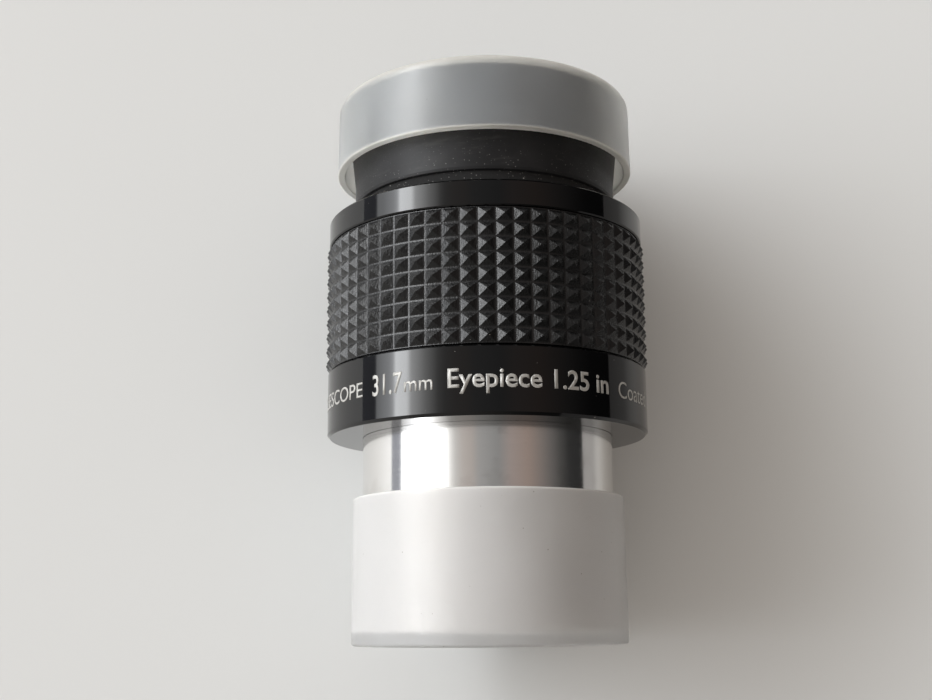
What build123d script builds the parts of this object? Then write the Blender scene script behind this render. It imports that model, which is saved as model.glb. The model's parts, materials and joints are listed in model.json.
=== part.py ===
from build123d import *
import math
import os

# Telescope eyepiece for a 1.25 inch focuser, lying on its grip. Everything is turned about one axis.
# Profiles are (radius, station) in mm. Station 0 is the shoulder that seats on the focuser, and the
# station grows towards the eye. At the end each part is laid down so that the axis runs along +Y.

# barrel, the standard interface
BARREL_R = 31.75 / 2
BARREL_LEN = 24.2
BARREL_LEAD = 0.4
BORE_R = 13.7
THREAD_MINOR_R = 13.93
THREAD_MAJOR_R = 14.25
THREAD_PITCH = 0.6
THREAD_TURNS = 6
REGISTER_R = 15.5
REGISTER_LEN = 1.15
SPIGOT_R = 15.0
SPIGOT_TOP = 4.6
STOP_LEDGE = -1.4
STOP_APERTURE_R = 8.7
STOP_LEN = 2.6

# body
BODY_R = 20.4
BAND_TOP = 8.1
SEAT_R = 19.2
HOUSING_NECK_R = 18.0
HOUSING_TOP = 26.6
CELL_BORE_R = 16.0
CELL_SEAT = 5.2
COLLAR_FOOT = 24.75
COLLAR_TOP = 27.95
NECK_R = 15.9
NECK_BEAD_R = 16.3
NECK_TOP = 32.2
NECK_BORE_R = 14.4

# rubber grip
GRIP_FOOT = 8.35
GRIP_TOP = 24.65
GRIP_ROWS = 9
GRIP_COLUMNS = 60
GRIP_FLOOR_R = 20.13
GRIP_TIP_R = 20.7
GRIP_FLOOR_W = 0.18
GRIP_BORE_R = 19.25
# the column phase puts the valleys where the moulding's parting line has them
GRIP_PHASE_DEG = 0.55

# rubber eyecup
CUP_SEAT_R = 16.6
CUP_FOOT = 30.3
CUP_SKIRT_R = 17.05
CUP_LIP_R = 18.2
CUP_TOP = 43.4
CUP_WALL = 1.2

# glass, all edged to one diameter and loaded from the eye end
GLASS_R = 13.0
GLASS_FOOT = 6.5
AIR_GAP = 0.3
STRONG = 30.0
MILD = 40.0
MIDDLE = 45.0
CELL_R = 15.95
CELL_WALL_R = 13.03

# dust caps
EYE_CAP_R = 19.42
EYE_CAP_TAPER = 0.12
EYE_CAP_WALL = 1.0
EYE_CAP_MOUTH = 34.8
EYE_CAP_TOP = 44.35
EYE_CAP_PLATE = 0.8
END_CAP_R = 17.1
END_CAP_TAPER = 0.08
END_CAP_WALL = 0.65
END_CAP_MOUTH = -7.7
END_CAP_PLATE = 1.35
END_CAP_GRIP_R = 15.93


def corner(before, point, after, radius):
    """Ends and middle of the arc that rounds a profile's corner."""
    u = [before[k] - point[k] for k in (0, 1)]
    v = [after[k] - point[k] for k in (0, 1)]
    lu, lv = math.hypot(*u), math.hypot(*v)
    u, v = [c / lu for c in u], [c / lv for c in v]
    half = math.acos(max(-1, min(1, u[0] * v[0] + u[1] * v[1]))) / 2
    run = radius / math.tan(half)
    w = [u[0] + v[0], u[1] + v[1]]
    lw = math.hypot(*w)
    deep = radius / math.sin(half) - radius
    start = (point[0] + u[0] * run, point[1] + u[1] * run)
    end = (point[0] + v[0] * run, point[1] + v[1] * run)
    middle = (point[0] + w[0] / lw * deep, point[1] + w[1] / lw * deep)
    return start, middle, end


def at(point):
    return Vector(point[0], 0, point[1])


def turned(points):
    """Solid of revolution. A third number on a point rounds that corner."""
    n = len(points)
    edges, last, first = [], None, None
    for i, point in enumerate(points):
        if len(point) > 2:
            start, middle, end = corner(points[i - 1], point, points[(i + 1) % n], point[2])
        else:
            start = middle = end = point[:2]
        if last is not None:
            edges.append(Line(at(last), at(start)))
        else:
            first = start
        if len(point) > 2:
            edges.append(ThreePointArc(at(start), at(middle), at(end)))
        last = end
    edges.append(Line(at(last), at(first)))
    return revolve(make_face(Wire(edges)), Axis.Z, 360)


def sag(radius, height):
    return radius - math.sqrt(radius * radius - height * height)


def lens(foot, top, foot_curve, top_curve, radius=GLASS_R):
    """Glass between two vertices. A positive curve bulges outwards, a negative one is hollow, 0 is flat."""
    def face(vertex, curve, out):
        if curve == 0:
            return vertex, vertex
        sign = -out if curve > 0 else out
        return (vertex + sign * sag(abs(curve), radius),
                vertex + sign * sag(abs(curve), radius / 2))

    foot_edge, foot_mid = face(foot, foot_curve, -1)
    top_edge, top_mid = face(top, top_curve, 1)

    def surface(vertex, edge, mid):
        if edge == vertex:
            return Line(at((0, vertex)), at((radius, edge)))
        return ThreePointArc(at((0, vertex)), at((radius / 2, mid)), at((radius, edge)))

    edges = [
        surface(foot, foot_edge, foot_mid),
        Line(at((radius, foot_edge)), at((radius, top_edge))),
        surface(top, top_edge, top_mid),
        Line(at((0, top)), at((0, foot))),
    ]
    return revolve(make_face(Wire(edges)), Axis.Z, 360)


parts = {}

# ---------------------------------------------------------------- barrel group
barrel_end = -BARREL_LEN
thread = []
for turn in range(THREAD_TURNS):
    crest = barrel_end + 0.7 + turn * THREAD_PITCH
    thread += [(THREAD_MINOR_R, crest), (THREAD_MAJOR_R, crest + 0.26), (THREAD_MINOR_R, crest + 0.52)]
thread_top = barrel_end + 0.7 + THREAD_TURNS * THREAD_PITCH
parts["barrel"] = turned(
    [(SPIGOT_R - 0.3, SPIGOT_TOP), (SPIGOT_R, SPIGOT_TOP - 0.3), (SPIGOT_R, REGISTER_LEN),
     (REGISTER_R, REGISTER_LEN), (REGISTER_R, 0), (BARREL_R, 0),
     (BARREL_R, barrel_end + BARREL_LEAD), (BARREL_R - BARREL_LEAD, barrel_end),
     (THREAD_MINOR_R + 0.35, barrel_end), (THREAD_MINOR_R, barrel_end + 0.35)]
    + thread
    + [(THREAD_MINOR_R, thread_top), (BORE_R, thread_top + 0.25), (BORE_R, STOP_LEDGE),
       (BORE_R - 0.8, STOP_LEDGE), (BORE_R - 0.8, SPIGOT_TOP)]
)

stop_foot = STOP_LEDGE - STOP_LEN
stop = turned([
    (BORE_R - 0.03, STOP_LEDGE), (BORE_R - 0.03, stop_foot), (BORE_R - 1.6, stop_foot),
    (BORE_R - 1.6, STOP_LEDGE - 0.9), (STOP_APERTURE_R, STOP_LEDGE - 0.12), (STOP_APERTURE_R, STOP_LEDGE),
])
notch = Box(2.4, 40, 1.0)
parts["field_stop"] = stop - Pos(0, 0, stop_foot + 0.3) * notch

# ---------------------------------------------------------------- housing
screw_station = 12.4
screw_angles = [30 + 120 * k for k in range(3)]
housing = turned([
    (BARREL_R + 0.125, 0), (BODY_R - 0.35, 0), (BODY_R, 0.35), (BODY_R, BAND_TOP - 0.15),
    (BODY_R - 0.15, BAND_TOP), (SEAT_R, BAND_TOP), (SEAT_R, COLLAR_FOOT - 0.03),
    (HOUSING_NECK_R, COLLAR_FOOT - 0.03), (HOUSING_NECK_R, HOUSING_TOP - 0.3),
    (HOUSING_NECK_R - 0.3, HOUSING_TOP), (CELL_BORE_R, HOUSING_TOP), (CELL_BORE_R, CELL_SEAT),
    (SPIGOT_R + 0.05, CELL_SEAT), (SPIGOT_R + 0.05, REGISTER_LEN), (REGISTER_R + 0.05, REGISTER_LEN),
    (REGISTER_R + 0.05, 0.15),
])
for angle in screw_angles:
    drill = Rot(0, 0, angle) * Pos(17.6, 0, screw_station) * Rot(0, 90, 0) * Cylinder(1.03, 4.4)
    housing -= drill
parts["housing"] = housing

# grub screws under the grip that lock the lens cell, with a screwdriver slot
body = Rot(0, 90, 0) * Cylinder(1.0, 2.9)
body = chamfer(body.edges().sort_by(Axis.X)[0], 0.35) - Pos(1.3, 0, 0) * Box(0.9, 2.2, 0.36)
place = Pos(CELL_R + 1.47, 0, screw_station)
parts["cell_screws"] = Compound([(Rot(0, 0, angle) * place * body).solids()[0] for angle in screw_angles])

# ---------------------------------------------------------------- rubber grip
rows = (GRIP_TOP - GRIP_FOOT) / GRIP_ROWS
profile = [(GRIP_BORE_R, GRIP_TOP), (GRIP_BORE_R, GRIP_FOOT)]
for row in range(GRIP_ROWS):
    foot = GRIP_FOOT + row * rows
    profile += [(GRIP_FLOOR_R, foot), (GRIP_FLOOR_R, foot + GRIP_FLOOR_W / 2),
                (GRIP_TIP_R, foot + rows / 2), (GRIP_FLOOR_R, foot + rows - GRIP_FLOOR_W / 2)]
profile += [(GRIP_FLOOR_R, GRIP_TOP)]
sleeve = turned(profile)
step = 2 * math.pi / GRIP_COLUMNS
land = GRIP_FLOOR_W / 2 / GRIP_FLOOR_R
star = []
for column in range(GRIP_COLUMNS):
    middle = column * step + math.radians(GRIP_PHASE_DEG)
    for r, a in ((GRIP_FLOOR_R, middle - step / 2 + land), (GRIP_TIP_R, middle),
                 (GRIP_FLOOR_R, middle + step / 2 - land)):
        star.append((r * math.cos(a), r * math.sin(a)))
fluted = Pos(0, 0, GRIP_FOOT - 1) * extrude(make_face(Polyline(*star, close=True)), GRIP_TOP - GRIP_FOOT + 2)
parts["grip_sleeve"] = sleeve & fluted

# ---------------------------------------------------------------- collar and eyecup
parts["top_collar"] = turned([
    (HOUSING_NECK_R + 0.05, COLLAR_FOOT), (BODY_R - 0.15, COLLAR_FOOT), (BODY_R, COLLAR_FOOT + 0.15),
    (BODY_R, COLLAR_TOP - 0.2), (BODY_R - 0.2, COLLAR_TOP), (NECK_R, COLLAR_TOP),
    (NECK_R, NECK_TOP - 1.0), (NECK_BEAD_R, NECK_TOP - 0.8), (NECK_BEAD_R, NECK_TOP - 0.4),
    (NECK_R, NECK_TOP), (NECK_BORE_R + 0.5, NECK_TOP), (NECK_BORE_R, NECK_TOP - 0.5),
    (NECK_BORE_R, HOUSING_TOP + 0.65), (HOUSING_NECK_R + 0.05, HOUSING_TOP + 0.65),
])

gap = 0.03
parts["eyecup_seat"] = turned([
    (NECK_R + gap, COLLAR_TOP), (CUP_SEAT_R - 0.15, COLLAR_TOP), (CUP_SEAT_R, COLLAR_TOP + 0.15),
    (CUP_SEAT_R, CUP_FOOT), (NECK_R + gap, CUP_FOOT),
])
parts["eyecup"] = turned([
    (NECK_R + gap, CUP_FOOT), (CUP_SEAT_R, CUP_FOOT), (CUP_SKIRT_R - 0.1, CUP_FOOT + 0.1, 0.12),
    (CUP_SKIRT_R, CUP_FOOT + 0.45, 0.2), (CUP_SKIRT_R, 33.2, 6.0), (CUP_LIP_R - 0.12, 42.4, 3.0),
    (CUP_LIP_R, CUP_TOP - 0.2, 0.1), (CUP_LIP_R - 0.15, CUP_TOP, 0.1), (CUP_LIP_R - 1.15, CUP_TOP, 0.3),
    (CUP_LIP_R - CUP_WALL - 0.3, 40.0, 3.0),
    (NECK_R + 0.25, 34.2, 2.0), (NECK_R - 0.3, NECK_TOP + 0.55, 0.3), (NECK_R - 0.9, NECK_TOP + 0.35),
    (NECK_R - 0.9, NECK_TOP + gap), (NECK_R + gap, NECK_TOP + gap), (NECK_BEAD_R + gap, NECK_TOP - 0.4 + gap),
    (NECK_BEAD_R + gap, NECK_TOP - 0.8 - gap), (NECK_R + gap, NECK_TOP - 1.0 - gap),
])

# ---------------------------------------------------------------- lens cell and glass
flint = 1.3
rim = 0.9
crown = sag(STRONG, GLASS_R) + sag(MILD, GLASS_R) + rim
field_top = GLASS_FOOT + flint + crown
middle_foot = field_top + AIR_GAP
middle_thick = 2 * sag(MIDDLE, GLASS_R) + 1.0
middle_top = middle_foot + middle_thick
eye_foot = middle_top + AIR_GAP
eye_joint = eye_foot + crown
eye_top = eye_joint + flint

parts["field_flint"] = lens(GLASS_FOOT, GLASS_FOOT + flint, 0, -STRONG)
parts["field_crown"] = lens(GLASS_FOOT + flint, field_top, STRONG, MILD)
parts["middle_lens"] = lens(middle_foot, middle_top, MIDDLE, MIDDLE)
parts["eye_crown"] = lens(eye_foot, eye_joint, MILD, STRONG)
parts["eye_flint"] = lens(eye_joint, eye_top, -STRONG, 0)


def spacer(foot, top):
    return turned([(GLASS_R, foot), (GLASS_R, top), (GLASS_R - 0.35, top), (GLASS_R - 1.1, top - 0.9),
                   (GLASS_R - 1.1, foot + 0.9), (GLASS_R - 0.35, foot)])


# the ring's ends stand on the glass just inside its edge, so each end starts clear of the bevelled rim
lift = sag(MILD, GLASS_R) - sag(MILD, GLASS_R - 0.35)
lift_middle = sag(MIDDLE, GLASS_R) - sag(MIDDLE, GLASS_R - 0.35)
mild_edge = sag(MILD, GLASS_R) - lift
middle_edge = sag(MIDDLE, GLASS_R) - lift_middle
parts["spacer_lower"] = spacer(field_top - mild_edge, middle_foot + middle_edge)
parts["spacer_upper"] = spacer(middle_top - middle_edge, eye_foot + mild_edge)

cell_top = NECK_TOP - 3.2
parts["lens_cell"] = turned([
    (CELL_WALL_R + 0.2, CELL_SEAT), (CELL_R, CELL_SEAT), (CELL_R, HOUSING_TOP), (17.4, HOUSING_TOP),
    (17.4, HOUSING_TOP + 0.6), (NECK_BORE_R - 0.05, HOUSING_TOP + 0.6), (NECK_BORE_R - 0.05, cell_top - 0.2),
    (NECK_BORE_R - 0.25, cell_top),
    (CELL_WALL_R, cell_top), (CELL_WALL_R, CELL_SEAT + 0.2),
])


def retainer(glass, out, thick, aperture):
    """Threaded ring that holds the glass at a station, with two slots for a spanner in its outer face."""
    ring = turned([
        (CELL_WALL_R - 0.03, glass), (CELL_WALL_R - 0.03, glass + out * thick), (12.4, glass + out * thick),
        (aperture, glass + out * 0.25), (aperture, glass),
    ])
    return ring - Pos(0, 0, glass + out * thick) * Box(1.6, 40, 1.2)


parts["eye_retainer"] = retainer(eye_top, 1, 1.5, 11.0)
parts["field_retainer"] = retainer(GLASS_FOOT, -1, 1.2, 11.6)

# ---------------------------------------------------------------- dust caps
inner = EYE_CAP_R - EYE_CAP_WALL
eye_cap_top_r = EYE_CAP_R - EYE_CAP_TAPER
parts["eye_cap"] = turned([
    (inner + 0.05, EYE_CAP_MOUTH, 0.15), (EYE_CAP_R, EYE_CAP_MOUTH, 0.2), (eye_cap_top_r, EYE_CAP_TOP, 1.1),
    (0, EYE_CAP_TOP), (0, EYE_CAP_TOP - EYE_CAP_PLATE), (inner - 0.02, EYE_CAP_TOP - EYE_CAP_PLATE, 0.12),
])

cap_in = END_CAP_R - END_CAP_WALL
cap_floor = barrel_end - 0.1
cap_end = cap_floor - END_CAP_PLATE
parts["barrel_cap"] = turned([
    (cap_in, END_CAP_MOUTH, 0.12), (END_CAP_R, END_CAP_MOUTH, 0.3), (END_CAP_R + END_CAP_TAPER, cap_end, 0.4),
    (0, cap_end), (0, cap_floor),
    (END_CAP_GRIP_R - 0.6, cap_floor), (END_CAP_GRIP_R, cap_floor + 0.35), (END_CAP_GRIP_R, barrel_end + 0.5),
    (cap_in, barrel_end + 0.56),
])

# ---------------------------------------------------------------- laid down and written out
os.makedirs("parts", exist_ok=True)
for node, shape in parts.items():
    solids = shape.solids()
    assert len(solids) == (3 if node == "cell_screws" else 1), (node, len(solids))
    laid = Rot(-90, 0, 0) * (Compound(solids) if len(solids) > 1 else solids[0])
    assert laid.is_valid, node
    export_step(laid, f"parts/{node}.step")
    box = laid.bounding_box()
    print(f"{node:14s} volume {laid.volume:9.1f}  y {box.min.Y:7.2f} to {box.max.Y:7.2f}  r {box.max.X:6.2f}")
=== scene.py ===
import json
import math

import bmesh
import bpy
from mathutils import Matrix, Vector


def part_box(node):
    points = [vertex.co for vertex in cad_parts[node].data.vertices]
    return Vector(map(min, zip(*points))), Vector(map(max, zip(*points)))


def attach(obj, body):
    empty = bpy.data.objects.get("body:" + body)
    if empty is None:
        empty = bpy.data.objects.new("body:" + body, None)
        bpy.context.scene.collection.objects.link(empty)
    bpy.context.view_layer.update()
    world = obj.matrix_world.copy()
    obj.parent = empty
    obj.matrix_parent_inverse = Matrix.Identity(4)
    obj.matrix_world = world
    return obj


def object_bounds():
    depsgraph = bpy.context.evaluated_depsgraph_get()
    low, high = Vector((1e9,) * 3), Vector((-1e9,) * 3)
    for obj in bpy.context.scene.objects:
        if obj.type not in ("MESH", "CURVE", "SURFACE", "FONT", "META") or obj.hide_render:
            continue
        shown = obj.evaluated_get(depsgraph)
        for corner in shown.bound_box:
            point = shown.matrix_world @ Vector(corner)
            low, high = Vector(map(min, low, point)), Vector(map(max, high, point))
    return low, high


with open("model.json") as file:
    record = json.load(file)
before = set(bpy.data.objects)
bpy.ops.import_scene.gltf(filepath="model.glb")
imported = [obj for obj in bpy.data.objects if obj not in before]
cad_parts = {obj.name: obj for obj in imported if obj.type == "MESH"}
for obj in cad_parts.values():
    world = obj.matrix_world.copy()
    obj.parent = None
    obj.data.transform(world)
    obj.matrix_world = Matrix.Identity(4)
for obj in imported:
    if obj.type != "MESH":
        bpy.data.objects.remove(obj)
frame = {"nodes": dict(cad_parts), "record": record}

# A telescope eyepiece that lies on its grip. The axis runs along Y, the eye end is at +Y and Z is up.
# Lengths are in metres. Angles about the axis run from +Z towards +X.

MM = 0.001
cad_low, cad_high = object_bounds()
floor_z = cad_low.z
scene = bpy.context.scene


# ---------------------------------------------------------------- node helpers
class Tree:
    """A short way to write a node tree. Values are numbers, colours or sockets."""

    def __init__(self, tree):
        self.tree = tree
        tree.nodes.clear()

    def add(self, kind, settings=None, **values):
        """A new node. Each value goes to the input of its name, or i0, i1 and so on for a number."""
        node = self.tree.nodes.new(kind)
        for name, value in (settings or {}).items():
            setattr(node, name, value)
        for name, value in values.items():
            key = int(name[1:]) if name[0] == "i" and name[1:].isdigit() else name.replace("_", " ")
            self.set(node.inputs[key], value)
        return node

    def set(self, socket, value):
        if isinstance(value, bpy.types.NodeSocket):
            self.tree.links.new(value, socket)
        elif hasattr(value, "__len__") and socket.type == "RGBA":
            socket.default_value = (*value[:3], 1)
        else:
            socket.default_value = value

    def math(self, operation, a, b=0.0, clamp=False):
        settings = {"operation": operation, "use_clamp": clamp}
        return self.add("ShaderNodeMath", settings, i0=a, i1=b).outputs[0]

    def span(self, value, low, high, to_low=0.0, to_high=1.0, smooth=True):
        """value from low to high, mapped to to_low to to_high and held there."""
        kind = "SMOOTHSTEP" if smooth else "LINEAR"
        return self.add("ShaderNodeMapRange", {"interpolation_type": kind}, Value=value, From_Min=low,
                        From_Max=high, To_Min=to_low, To_Max=to_high).outputs[0]

    def blend(self, share, a, b):
        """Colour a where share is 0, and b where it is 1."""
        mix = self.add("ShaderNodeMix", {"data_type": "RGBA"})
        self.set(mix.inputs[0], share)
        self.set(mix.inputs[6], a)
        self.set(mix.inputs[7], b)
        return mix.outputs[2]

    def noise(self, where, scale, detail, roughness=0.55):
        """Noise with about as many lumps to the metre as scale."""
        return self.add("ShaderNodeTexNoise", None, Vector=where, Scale=scale, Detail=detail,
                        Roughness=roughness).outputs[0]

    def vector(self, x, y, z):
        return self.add("ShaderNodeCombineXYZ", None, X=x, Y=y, Z=z).outputs[0]

    def ramp(self, value, stops):
        """A colour ramp. stops are pairs of a position, from 0 to 1, and a colour."""
        node = self.add("ShaderNodeValToRGB", None, Fac=value)
        bar = node.color_ramp
        while len(bar.elements) > 1:
            bar.elements.remove(bar.elements[-1])
        bar.elements[0].position = stops[0][0]
        bar.elements[0].color = (*stops[0][1], 1)
        for position, colour in stops[1:]:
            bar.elements.new(position).color = (*colour, 1)
        return node.outputs[0]

    def bump(self, height, distance, strength, before=None):
        """A normal that follows height, whose range is distance deep, on top of the normal before."""
        node = self.add("ShaderNodeBump", None, Height=height, Distance=distance, Strength=strength)
        if before is not None:
            self.set(node.inputs["Normal"], before)
        return node.outputs[0]

    def turned_normal(self, share, normal, other):
        """normal, turned towards other by share."""
        mix = self.add("ShaderNodeMix", {"data_type": "VECTOR"})
        self.set(mix.inputs[0], share)
        self.set(mix.inputs[4], normal)
        self.set(mix.inputs[5], other)
        return self.add("ShaderNodeVectorMath", {"operation": "NORMALIZE"}, i0=mix.outputs[1]).outputs[0]

    def principled(self, values):
        shader = self.add("ShaderNodeBsdfPrincipled")
        for key, value in values.items():
            self.set(shader.inputs[key], value)
        return shader.outputs[0]


class Turned:
    """Where a point of a turned piece is: x, y, z, its radius, and maps that follow the turning.

    seed gives each material a noise of its own.
    """

    def __init__(self, t, seed):
        place = t.add("ShaderNodeTexCoord").outputs["Object"]
        shift = (seed, seed * 0.7, -seed)
        shifted = t.add("ShaderNodeVectorMath", {"operation": "ADD"}, i0=place, i1=shift)
        axes = t.add("ShaderNodeSeparateXYZ", None, i0=place)
        self.place = shifted.outputs[0]
        self.x, self.y, self.z = axes.outputs
        square = t.math("ADD", t.math("MULTIPLY", self.x, self.x), t.math("MULTIPLY", self.z, self.z))
        self.radius = t.math("SQRT", square)
        # the same all the way round, so a noise of it gives the fine rings that a lathe leaves
        self.rings = t.vector(seed, self.y, self.radius)


def material(name, finish):
    """A new material, made of what finish(tree) returns.

    That is one Principled shader's values, or two shaders' values and the share of the second.
    """
    made = bpy.data.materials.new(name)
    made.use_nodes = True
    t = Tree(made.node_tree)
    values = finish(t)
    if isinstance(values, dict):
        surface = t.principled(values)
    else:
        first, second, share = values
        mix = t.add("ShaderNodeMixShader", None, i0=share, i1=t.principled(first), i2=t.principled(second))
        surface = mix.outputs[0]
    t.set(t.add("ShaderNodeOutputMaterial").inputs["Surface"], surface)
    return made


def specks(t, where, radius, density):
    """Sparse round specks: 1 inside one, 0 elsewhere. radius is in mm, density in specks per square mm."""
    kept = 0.5  # share of the cells that hold a speck
    smallest = 0.35  # the smallest speck's radius, as a share of the largest one's
    soft = 0.4  # share of a speck's radius that its soft edge takes
    scale = (density / (2 * radius * kept)) ** (1 / 3)
    cells = t.add("ShaderNodeTexVoronoi", {"feature": "F1"}, Vector=where, Scale=scale / MM, Randomness=1.0)
    draw = t.add("ShaderNodeSeparateColor", None, Color=cells.outputs["Color"])
    reach = t.span(draw.outputs[1], 0.0, 1.0, radius * scale * smallest, radius * scale, smooth=False)
    inside = t.math("SUBTRACT", 1.0, t.math("DIVIDE", cells.outputs["Distance"], reach))
    return t.math("MULTIPLY", t.span(inside, 0.0, soft), t.math("LESS_THAN", draw.outputs[0], kept))


# ---------------------------------------------------------------- materials
STUD_HEIGHT = 0.57 * MM
grip_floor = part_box("grip_sleeve")[1].x - STUD_HEIGHT  # radius of the valleys between the studs
band_low, band_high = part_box("housing")
cup_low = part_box("eyecup")[0]
eye_cap_foot, eye_cap_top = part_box("eye_cap")
barrel_cap_end, barrel_cap_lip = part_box("barrel_cap")


def anodised(t):
    """Glossy black anodising over turned aluminium: dust, faint smears and chips on the band's edge."""
    at = Turned(t, 0.031)
    rings = t.noise(at.rings, 9000, 2)
    smear = t.span(t.noise(at.place, 160, 4), 0.5, 0.75)
    dust = specks(t, at.place, radius=0.05, density=0.06)
    edge = t.span(at.radius, band_high.x - 0.38 * MM, band_high.x - 0.1 * MM)
    foot = t.span(at.y, band_low.y + 0.42 * MM, band_low.y + 0.3 * MM)
    chipped = t.span(t.noise(at.place, 1500, 2), 0.74, 0.77)
    chips = t.math("MULTIPLY", t.math("MULTIPLY", edge, foot), chipped)
    colour = t.blend(t.math("MULTIPLY", dust, 0.6), (0.0014, 0.0014, 0.0017), (0.42, 0.40, 0.37))
    colour = t.blend(chips, colour, (0.62, 0.60, 0.58))
    rough = t.math("ADD", t.span(rings, 0.3, 0.7, 0.035, 0.07), t.math("MULTIPLY", smear, 0.06))
    rough = t.math("ADD", rough, t.math("MULTIPLY", dust, 0.5), clamp=True)
    return {
        "Base Color": colour,
        "Roughness": rough,
        "IOR": 1.46,
        "Normal": t.bump(rings, 0.0012 * MM, 0.6),
    }


def satin_black(t):
    """Bead-blasted black metal inside the eyepiece, with the marks of the lathe."""
    at = Turned(t, 0.057)
    rings = t.noise(at.rings, 4200, 3)
    grain = t.noise(at.place, 9000, 3)
    return {
        "Base Color": t.blend(grain, (0.008, 0.008, 0.009), (0.02, 0.02, 0.021)),
        "Roughness": t.span(rings, 0.3, 0.7, 0.38, 0.56),
        "Normal": t.bump(rings, 0.008 * MM, 0.8, t.bump(grain, 0.004 * MM, 0.7)),
    }


def bright_metal(t):
    """Polished barrel: fine turning rings, a few rubbed marks and small dark pits."""
    at = Turned(t, 0.013)
    rings = t.noise(at.rings, 5200, 4, 0.65)
    broad = t.noise(at.rings, 700, 2)
    rub = t.span(t.noise(at.place, 240, 5, 0.6), 0.52, 0.72)
    pits = specks(t, at.place, radius=0.07, density=0.045)
    colour = t.blend(rub, (0.86, 0.85, 0.835), (0.78, 0.765, 0.745))
    colour = t.blend(t.math("MULTIPLY", pits, 0.8), colour, (0.10, 0.10, 0.11))
    rough = t.math("ADD", t.span(rings, 0.3, 0.7, 0.10, 0.17), t.math("MULTIPLY", rub, 0.06))
    tangent = t.add("ShaderNodeTangent", {"direction_type": "RADIAL", "axis": "Y"}).outputs[0]
    return {
        "Base Color": colour,
        "Metallic": 1.0,
        "Roughness": t.math("ADD", rough, t.math("MULTIPLY", pits, 0.3)),
        "Anisotropic": 0.75,
        "Anisotropic Rotation": 0.25,
        "Tangent": tangent,
        "Normal": t.bump(broad, 0.004 * MM, 0.5, t.bump(rings, 0.0016 * MM, 0.6)),
    }


def grip_rubber(t):
    """Moulded rubber: satin facets with a fine drawn grain, rubbed tips, lint and dust in the valleys."""
    at = Turned(t, 0.021)
    grain = t.noise(at.place, 5200, 4, 0.65)
    lengthwise = t.vector(t.math("MULTIPLY", at.x, 3.0), at.y, t.math("MULTIPLY", at.z, 3.0))
    drawn = t.noise(lengthwise, 1700, 3, 0.6)
    patch = t.noise(at.place, 210, 3)
    blotch = t.noise(at.place, 620, 3, 0.6)
    valley = t.span(at.radius, grip_floor + 0.16 * MM, grip_floor + 0.03 * MM)
    tip = t.span(at.radius, grip_floor + 0.36 * MM, grip_floor + 0.54 * MM)
    dust = t.math("MULTIPLY", valley, t.span(patch, 0.38, 0.72, 0.25, 1.0))
    lint = specks(t, at.place, radius=0.07, density=0.03)
    colour = t.blend(grain, (0.002, 0.002, 0.0022), (0.0065, 0.0068, 0.0074))
    colour = t.blend(t.math("MULTIPLY", dust, 0.12), colour, (0.11, 0.11, 0.115))
    colour = t.blend(lint, colour, (0.45, 0.44, 0.42))
    rough = t.span(blotch, 0.3, 0.7, 0.20, 0.31)
    rough = t.math("SUBTRACT", rough, t.math("MULTIPLY", tip, 0.04))
    # the mould leaves the bottoms of the valleys rounded
    outwards = t.add("ShaderNodeVectorTransform", {"vector_type": "NORMAL", "convert_from": "OBJECT"},
                     Vector=t.vector(at.x, 0.0, at.z)).outputs[0]
    rounded = t.span(at.radius, grip_floor + 0.11 * MM, grip_floor + 0.03 * MM, 0.0, 0.9)
    fine = t.bump(drawn, 0.07 * MM, 0.9, t.bump(grain, 0.03 * MM, 0.9))
    return {
        "Base Color": colour,
        "Roughness": rough,
        "IOR": 1.46,
        "Normal": t.turned_normal(rounded, fine, outwards),
    }


def cup_rubber(t):
    """Soft matte rubber of the eyecup, dusty, with specks and a few pale rubbed streaks."""
    at = Turned(t, 0.043)
    grain = t.noise(at.place, 7600, 4, 0.7)
    cloud = t.noise(at.place, 190, 4, 0.6)
    streak = t.noise(t.vector(at.x, t.math("MULTIPLY", at.y, 5.0), at.z), 260, 4, 0.6)
    # dust gathers towards the foot
    low_down = t.span(at.y, cup_low.y + 3.6 * MM, cup_low.y + 1.2 * MM, 0.3, 1.0)
    dust = t.math("MULTIPLY", specks(t, at.place, radius=0.065, density=2.6), low_down)
    flecks = specks(t, at.place, radius=0.11, density=0.045)
    stretched = t.vector(at.x, t.math("MULTIPLY", at.y, 0.35), at.z)
    fibres = specks(t, stretched, radius=0.10, density=0.012)
    colour = t.blend(t.span(cloud, 0.35, 0.7), (0.013, 0.0133, 0.0143), (0.020, 0.0203, 0.0217))
    colour = t.blend(t.math("MULTIPLY", t.span(streak, 0.55, 0.75), 0.25), colour, (0.075, 0.073, 0.07))
    colour = t.blend(t.math("MULTIPLY", dust, 0.6), colour, (0.36, 0.35, 0.34))
    colour = t.blend(t.math("MAXIMUM", flecks, fibres), colour, (0.62, 0.61, 0.58))
    return {
        "Base Color": colour,
        "Roughness": t.span(grain, 0.3, 0.7, 0.44, 0.56),
        "IOR": 1.33,
        "Sheen Weight": 0.02,
        "Sheen Roughness": 0.45,
        "Normal": t.bump(grain, 0.010 * MM, 0.7, t.bump(cloud, 0.05 * MM, 0.4)),
    }


def seat_grain(t):
    """Coarse black ring under the eyecup, full of caught dust."""
    at = Turned(t, 0.067)
    grain = t.noise(at.place, 4800, 5, 0.75)
    dust = specks(t, at.place, radius=0.07, density=3.2)
    flecks = specks(t, at.place, radius=0.10, density=0.25)
    colour = t.blend(grain, (0.004, 0.004, 0.004), (0.026, 0.026, 0.0265))
    colour = t.blend(t.math("MULTIPLY", dust, 0.7), colour, (0.34, 0.33, 0.32))
    colour = t.blend(flecks, colour, (0.5, 0.48, 0.46))
    return {
        "Base Color": colour,
        "Roughness": 0.85,
        "IOR": 1.33,
        "Normal": t.bump(grain, 0.05 * MM, 0.9),
    }


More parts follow.
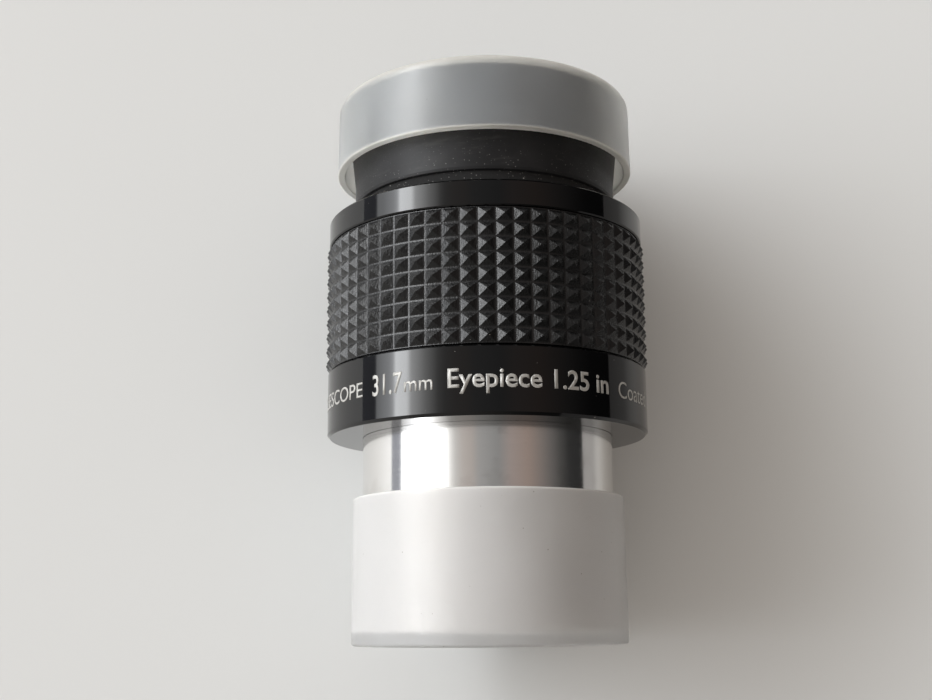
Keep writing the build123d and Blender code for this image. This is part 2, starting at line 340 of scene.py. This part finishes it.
def frosted(t):
    """Frosted soft plastic of the eye cap: most light goes through, and a cool veil scatters the rest."""
    at = Turned(t, 0.009)
    haze = t.noise(at.place, 130, 4)
    grain = t.noise(at.place, 5200, 3)
    flow = t.noise(t.vector(at.x, t.math("MULTIPLY", at.y, 0.25), at.z), 420, 3)
    scuff = t.span(t.noise(at.place, 900, 5, 0.7), 0.62, 0.72)
    marks = specks(t, at.place, radius=0.07, density=0.02)
    rough = t.math("ADD", t.span(flow, 0.3, 0.7, 0.30, 0.38), t.math("MULTIPLY", scuff, 0.08))
    shared = {
        "Roughness": rough,
        "IOR": 1.46,
        "Normal": t.bump(grain, 0.006 * MM, 0.6, t.bump(flow, 0.02 * MM, 0.35)),
    }
    through = {
        "Base Color": t.blend(haze, (0.965, 0.935, 0.86), (0.98, 0.96, 0.905)),
        "Transmission Weight": 1.0,
    }
    # the rim between the wall and the end is the thickest plastic; it and the lip get a paler, warmer veil
    # and more of it, as painted highlight for the bright lines along these edges
    near_end = t.span(at.y, eye_cap_top.y - 1.5 * MM, eye_cap_top.y - 0.7 * MM)
    near_wall = t.span(at.radius, eye_cap_top.x - 3.2 * MM, eye_cap_top.x - 1.4 * MM)
    rim_highlight = t.math("MULTIPLY", near_end, near_wall)
    lip_highlight = t.span(at.y, eye_cap_foot.y + 0.48 * MM, eye_cap_foot.y + 0.18 * MM)
    # edges: the rim and the lip, where the painted highlight goes
    edges = t.math("MAXIMUM", rim_highlight, lip_highlight)
    # the paler, warmer veil at the edges is painted highlight
    scattered = t.blend(edges, (0.73, 0.79, 0.85), (0.88, 0.87, 0.81))
    veil = {"Base Color": t.blend(marks, scattered, (0.35, 0.34, 0.32))}
    share = t.math("ADD", t.span(haze, 0.3, 0.7, 0.15, 0.175), t.math("MULTIPLY", marks, 0.5))
    # more veil at the edges, part of the painted highlight
    share = t.math("ADD", share, t.math("MULTIPLY", edges, 0.24))
    return {**shared, **through}, {**shared, **veil}, share


def milky(t):
    """Milky plastic of the barrel cap, with faint flow lines, scuffs, a few specks and a painted highlight
    along the lip.
    """
    at = Turned(t, 0.077)
    haze = t.noise(at.place, 150, 4)
    grain = t.noise(at.place, 4600, 3)
    flow = t.noise(t.vector(at.x, t.math("MULTIPLY", at.y, 0.12), at.z), 520, 4)
    marks = specks(t, at.place, radius=0.10, density=0.045)
    scuff = t.span(t.noise(at.place, 700, 5, 0.7), 0.62, 0.74)
    rough = t.math("ADD", t.span(flow, 0.3, 0.7, 0.52, 0.60), t.math("MULTIPLY", scuff, 0.10))
    shared = {
        "Roughness": rough,
        "IOR": 1.46,
        "Normal": t.bump(grain, 0.006 * MM, 0.6, t.bump(flow, 0.012 * MM, 0.35)),
    }
    through = {
        "Base Color": t.blend(haze, (0.93, 0.91, 0.88), (0.95, 0.935, 0.91)),
        "Transmission Weight": 1.0,
    }
    # the end plate is clearer than the wall; the open lip gets a whiter veil and more of it, as painted
    # highlight along its edge
    plate = t.span(at.y, barrel_cap_end.y + 1.75 * MM, barrel_cap_end.y + 1.5 * MM)
    lip_highlight = t.span(at.y, barrel_cap_lip.y - 0.4 * MM, barrel_cap_lip.y - 0.15 * MM)
    # the whiter veil at the lip is painted highlight
    scattered = t.blend(lip_highlight, (0.785, 0.79, 0.795), (0.88, 0.88, 0.87))
    scattered = t.blend(plate, scattered, (0.79, 0.81, 0.83))
    veil = {
        "Base Color": t.blend(marks, scattered, (0.42, 0.40, 0.37)),
        "Roughness": t.span(flow, 0.3, 0.7, 0.30, 0.38),
    }
    share = t.math("ADD", t.span(haze, 0.3, 0.7, 0.42, 0.48), t.math("MULTIPLY", marks, 0.3))
    # the lip's extra veil is part of its painted highlight, and the plate takes less veil
    share = t.math("ADD", share, t.math("MULTIPLY", t.math("SUBTRACT", lip_highlight, plate), 0.16))
    return {**shared, **through}, {**shared, **veil}, share


def coated_glass(t):
    """Optical glass with a thin coating, which tints what it mirrors."""
    at = Turned(t, 0.003)
    wipe = t.span(t.noise(at.place, 240, 4), 0.55, 0.8)
    return {
        "Base Color": t.blend(wipe, (0.97, 0.99, 0.975), (0.95, 0.97, 0.96)),
        "Transmission Weight": 1.0,
        "Roughness": t.math("MULTIPLY", wipe, 0.02),
        "IOR": 1.53,
        "Thin Film Thickness": 320.0,
        "Thin Film IOR": 1.38,
    }


def screw_steel(t):
    """Dull steel of the grub screws."""
    at = Turned(t, 0.091)
    grain = t.noise(at.place, 5200, 4)
    return {
        "Base Color": t.blend(grain, (0.16, 0.16, 0.17), (0.30, 0.30, 0.31)),
        "Metallic": 1.0,
        "Roughness": t.span(grain, 0.3, 0.7, 0.28, 0.42),
        "Normal": t.bump(grain, 0.006 * MM, 0.6),
    }


def marking_paint(t):
    """Pale silver filling of the marking, a little uneven."""
    at = Turned(t, 0.051)
    grain = t.noise(at.place, 5200, 4)
    wear = t.span(t.noise(at.place, 1500, 3), 0.62, 0.74)
    colour = t.blend(grain, (0.39, 0.385, 0.365), (0.49, 0.485, 0.465))
    return {
        "Base Color": t.blend(t.math("MULTIPLY", wear, 0.5), colour, (0.22, 0.215, 0.20)),
        "Metallic": 0.3,
        "Roughness": t.span(grain, 0.3, 0.7, 0.40, 0.55),
        "Normal": t.bump(grain, 0.006 * MM, 0.6),
    }


FINISHES = {
    "black_anodised": anodised,
    "matte_black_metal": satin_black,
    "bright_barrel": bright_metal,
    "grip_rubber": grip_rubber,
    "eyecup_rubber": cup_rubber,
    "seat_ring": seat_grain,
    "optical_glass": coated_glass,
    "steel": screw_steel,
    "frosted_plastic": frosted,
    "milky_plastic": milky,
}
materials = {slot: material(slot, finish) for slot, finish in FINISHES.items()}
for row in frame["record"]["subparts"]:
    mesh = frame["nodes"][row["node"]].data
    mesh.materials.clear()
    mesh.materials.append(materials[row["material_slot"]])


# ---------------------------------------------------------------- marking on the band
band_radius = band_high.x
MARK_FOOT = 3.1 * MM  # the letters' foot, above the band's
MARK_RISE = 0.02 * MM  # how far the letters stand out of the band
MARK_DEPTH = 0.03 * MM  # how thick they are
MARK_STRIP = 0.35 * MM  # how wide a flat strip of a letter is at most
CAPITAL = 0.72  # height of a capital as a share of the font's size


def lettering(text, height, start_angle, end_angle, base, weight):
    """Letters, spread from one angle to another, cut in strips and wrapped on the band, as a mesh.

    height is a capital's, and weight is the share of it that each stroke's edge moves out by.
    """
    curve = bpy.data.curves.new("text", "FONT")
    curve.body = text
    curve.size = height / CAPITAL
    curve.offset = weight * height
    curve.resolution_u = 6
    typed = bpy.data.objects.new("text", curve)
    scene.collection.objects.link(typed)
    bpy.context.view_layer.update()
    mesh = bpy.data.meshes.new_from_object(typed)
    bpy.data.objects.remove(typed)
    bm = bmesh.new()
    bm.from_mesh(mesh)
    start = min(v.co.x for v in bm.verts)
    width = (end_angle - start_angle) * band_radius
    spread = width / (max(v.co.x for v in bm.verts) - start)
    for v in bm.verts:
        v.co.x = (v.co.x - start) * spread
    x = MARK_STRIP
    while x < width:
        cut = bm.verts[:] + bm.edges[:] + bm.faces[:]
        bmesh.ops.bisect_plane(bm, geom=cut, plane_co=(x, 0, 0), plane_no=(1, 0, 0))
        x += MARK_STRIP
    bmesh.ops.recalc_face_normals(bm, faces=bm.faces[:])
    if sum(f.normal.z * f.calc_area() for f in bm.faces) < 0:
        bmesh.ops.reverse_faces(bm, faces=bm.faces[:])
    raised = bmesh.ops.extrude_face_region(bm, geom=bm.faces[:])
    for v in raised["geom"]:
        if isinstance(v, bmesh.types.BMVert):
            v.co.z += MARK_DEPTH
    radius = band_radius + MARK_RISE - MARK_DEPTH
    for v in bm.verts:
        angle = start_angle + v.co.x / band_radius
        reach = radius + v.co.z
        v.co = Vector((math.sin(angle) * reach, base + v.co.y, math.cos(angle) * reach))
    bmesh.ops.recalc_face_normals(bm, faces=bm.faces[:])
    bm.to_mesh(mesh)
    bm.free()
    return mesh


def marking():
    """The band's marking: plain words and the barrel's size, in place of what a maker would print."""
    base = band_low.y + MARK_FOOT
    # words, height, first and last angle in degrees, how far they are raised along the axis, weight
    rows = [
        ("TELESCOPE", 1.85 * MM, -88, -46, 0.15 * MM, 0.004),
        ("31.7", 2.5 * MM, -41, -28.6, 0.0, 0.018),
        ("mm", 1.85 * MM, -27.8, -17.6, 0.0, 0.010),
        ("Eyepiece 1.25 in", 2.25 * MM, -12.6, 44.5, 0.1 * MM, 0.025),
        ("Coated", 2.1 * MM, 50, 74, -0.1 * MM, -0.006),
    ]
    joined = bmesh.new()
    for text, height, start, end, lift, weight in rows:
        mesh = lettering(text, height, math.radians(start), math.radians(end), base + lift, weight)
        joined.from_mesh(mesh)
        bpy.data.meshes.remove(mesh)
    mesh = bpy.data.meshes.new("band_marking")
    joined.to_mesh(mesh)
    joined.free()
    piece = bpy.data.objects.new("band_marking", mesh)
    scene.collection.objects.link(piece)
    mesh.materials.append(material("marking_paint", marking_paint))
    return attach(piece, "eyepiece")


marking()


# ---------------------------------------------------------------- floor
TABLE_REACH = 2.5
TABLE_SEEN = (-0.28, 0.38)  # mirrors see the table only between these
TABLE_FADE = (0.05, 0.10)  # from the first of these to the second, the table dims for mirrors to this colour, as painted shade on its right
TABLE_MIRROR_SHADE = (0.36, 0.36, 0.36)


def floor_finish(t):
    """Plain pale table top, with painted shade on its right that only mirrors see."""
    place = t.add("ShaderNodeTexCoord").outputs["Object"]
    cloud = t.noise(place, 9, 3)
    grain = t.noise(place, 1400, 3)
    x = t.add("ShaderNodeSeparateXYZ", None, i0=place).outputs[0]
    ray = t.add("ShaderNodeLightPath").outputs
    mirrored = t.math("SUBTRACT", ray["Is Glossy Ray"], ray["Is Transmission Ray"], clamp=True)
    # painted shade: mirrors see the table dim towards the right
    mirrored = t.math("MULTIPLY", mirrored, t.span(x, *TABLE_FADE))
    colour = t.blend(cloud, (0.664, 0.680, 0.680), (0.685, 0.701, 0.701))
    return {
        "Base Color": t.blend(mirrored, colour, TABLE_MIRROR_SHADE),
        "Roughness": 0.55,
        "Specular IOR Level": 0.35,
        "Normal": t.bump(grain, 0.02 * MM, 0.25),
    }


def floor():
    """One plain floor in three parts, of which mirrors see only the middle one."""
    finish = material("floor_finish", floor_finish)
    edges = (-TABLE_REACH, *TABLE_SEEN, TABLE_REACH)
    near, far = -TABLE_REACH, TABLE_REACH
    for name, left, right in zip(("floor_left", "floor", "floor_right"), edges, edges[1:]):
        mesh = bpy.data.meshes.new(name)
        corners = [(left, near), (right, near), (right, far), (left, far)]
        mesh.from_pydata([(x, y, floor_z) for x, y in corners], [], [(0, 1, 2, 3)])
        mesh.materials.append(finish)
        plane = bpy.data.objects.new(name, mesh)
        scene.collection.objects.link(plane)
        plane.visible_glossy = name == "floor"


floor()


# ---------------------------------------------------------------- light and camera
# radiance of the room by the angle about the object's axis, in degrees from straight up towards +X
ROOM = [
    (-180, (0.30, 0.30, 0.30)),
    (-110, (0.34, 0.35, 0.39)),
    (-84.5, (0.34, 0.35, 0.39)),
    (-83.5, (2.3, 2.35, 2.4)),
    (-72, (4.6, 4.7, 4.85)),
    (-68, (7.0, 7.15, 7.35)),
    (-66.5, (14.0, 14.3, 14.6)),
    (-57, (13.0, 13.2, 13.4)),
    (-54, (6.6, 6.65, 6.7)),
    (-43, (2.8, 2.8, 2.78)),
    (-34, (0.95, 0.94, 0.92)),
    (-29, (0.60, 0.585, 0.57)),
    (-22, (0.50, 0.46, 0.435)),
    (-14, (0.44, 0.40, 0.375)),
    (-8, (0.35, 0.345, 0.34)),
    (10, (0.26, 0.258, 0.255)),
    (20, (0.33, 0.28, 0.26)),
    (36, (0.30, 0.235, 0.205)),
    (48, (0.21, 0.18, 0.165)),
    (58, (0.135, 0.125, 0.12)),
    (68, (0.07, 0.068, 0.066)),
    (78, (0.03, 0.03, 0.03)),
    (93, (0.02, 0.02, 0.02)),
    (125, (0.02, 0.02, 0.02)),
    (180, (0.30, 0.30, 0.30)),
]
ROOM_PEAK = 15.0
# radiance of the room's two ends, each faded in between two values of the direction's y
EYE_END = (1.5, 1.48, 1.45)
EYE_END_FADE = (0.70, 0.95)
BARREL_END = (0.50, 0.48, 0.45)
BARREL_END_FADE = (0.08, -0.40)
ENDS_DIM = (0.45, -0.45)  # the direction's x where the ends are dim, and where they are full
ENDS_DIM_SHARE = 0.12
WINDOW_LEAN = 3.4  # degrees that the window leans over, once the direction's y is past the fade
WINDOW_LEAN_FADE = (0.24, 0.31)
# the lean grows from the first of these angles to the second, and fades from the third to the fourth
WINDOW_SIDES = (-84, -76, -36, -24)
EVEN = (1.04, 0.90, 0.78)  # part of what lights rough surfaces comes evenly from all round
EVEN_SHARE = 0.26
BACKDROP = (0.66, 0.66, 0.65)  # what the camera sees behind the table


def below_peak(colour):
    """A radiance as a share of the room's peak, which keeps the colours under 1."""
    return tuple(c / ROOM_PEAK for c in colour)


def room():
    """A room with a low window on the left. The camera sees a plain backdrop instead."""
    world = bpy.data.worlds.new("room")
    scene.world = world
    world.use_nodes = True
    t = Tree(world.node_tree)
    axes = t.add("ShaderNodeSeparateXYZ", None, i0=t.add("ShaderNodeTexCoord").outputs["Generated"])
    x, y, z = axes.outputs
    turn = t.math("DIVIDE", t.math("ARCTAN2", x, z), 2 * math.pi)
    left_low, left_high, right_low, right_high = (angle / 360 for angle in WINDOW_SIDES)
    leaning = t.math("MULTIPLY", t.span(turn, left_low, left_high), t.span(turn, right_high, right_low))
    leaning = t.math("MULTIPLY", leaning, t.span(y, *WINDOW_LEAN_FADE, 0.0, WINDOW_LEAN / 360))
    turn = t.math("SUBTRACT", turn, leaning)
    stops = [(angle / 360 + 0.5, below_peak(colour)) for angle, colour in ROOM]
    light = t.ramp(t.math("ADD", turn, 0.5), stops)
    side = t.span(x, *ENDS_DIM, ENDS_DIM_SHARE, 1.0)
    for end, fade in ((EYE_END, EYE_END_FADE), (BARREL_END, BARREL_END_FADE)):
        light = t.blend(t.span(y, *fade), light, t.blend(side, (0, 0, 0), below_peak(end)))
    # mirrors see the room as it is, and rough surfaces get the soft light
    soft = t.blend(EVEN_SHARE, light, below_peak(EVEN))
    ray = t.add("ShaderNodeLightPath").outputs
    light = t.blend(ray["Is Glossy Ray"], soft, light)
    lit = t.add("ShaderNodeBackground", None, Color=light, Strength=ROOM_PEAK).outputs[0]
    plain = t.add("ShaderNodeBackground", None, Color=BACKDROP, Strength=1.0).outputs[0]
    mix = t.add("ShaderNodeMixShader", None, i0=ray["Is Camera Ray"], i1=lit, i2=plain)
    t.set(t.add("ShaderNodeOutputWorld").inputs["Surface"], mix.outputs[0])


CAMERA_PLACE = Vector((0, -0.0225, 0.1628))
CAMERA_TURNS = (0.20722, -0.01584, -0.01256)  # tilt, pan and roll, in radians, from looking straight down
CAMERA_LENS = 49.4


def turned_pair(a, b, angle):
    """Two directions, turned in their own plane by the angle."""
    c, s = math.cos(angle), math.sin(angle)
    return a * c + b * s, b * c - a * s


def camera():
    """The camera, at its place and turned three times from looking straight down."""
    tilt, pan, roll = CAMERA_TURNS
    ahead, up, right = Vector((0, 0, -1)), Vector((0, 1, 0)), Vector((1, 0, 0))
    ahead, up = turned_pair(ahead, up, tilt)
    ahead, right = turned_pair(ahead, right, pan)
    right, up = turned_pair(right, up, roll)
    data = bpy.data.cameras.new("camera")
    data.lens = CAMERA_LENS
    data.sensor_width = 36
    data.clip_start = 0.005
    data.clip_end = 20
    eye = bpy.data.objects.new("camera", data)
    scene.collection.objects.link(eye)
    turn = Matrix((right, up, -ahead)).transposed().to_4x4()
    eye.matrix_world = Matrix.Translation(CAMERA_PLACE) @ turn
    scene.camera = eye


room()
camera()
scene.view_settings.view_transform = "Standard"
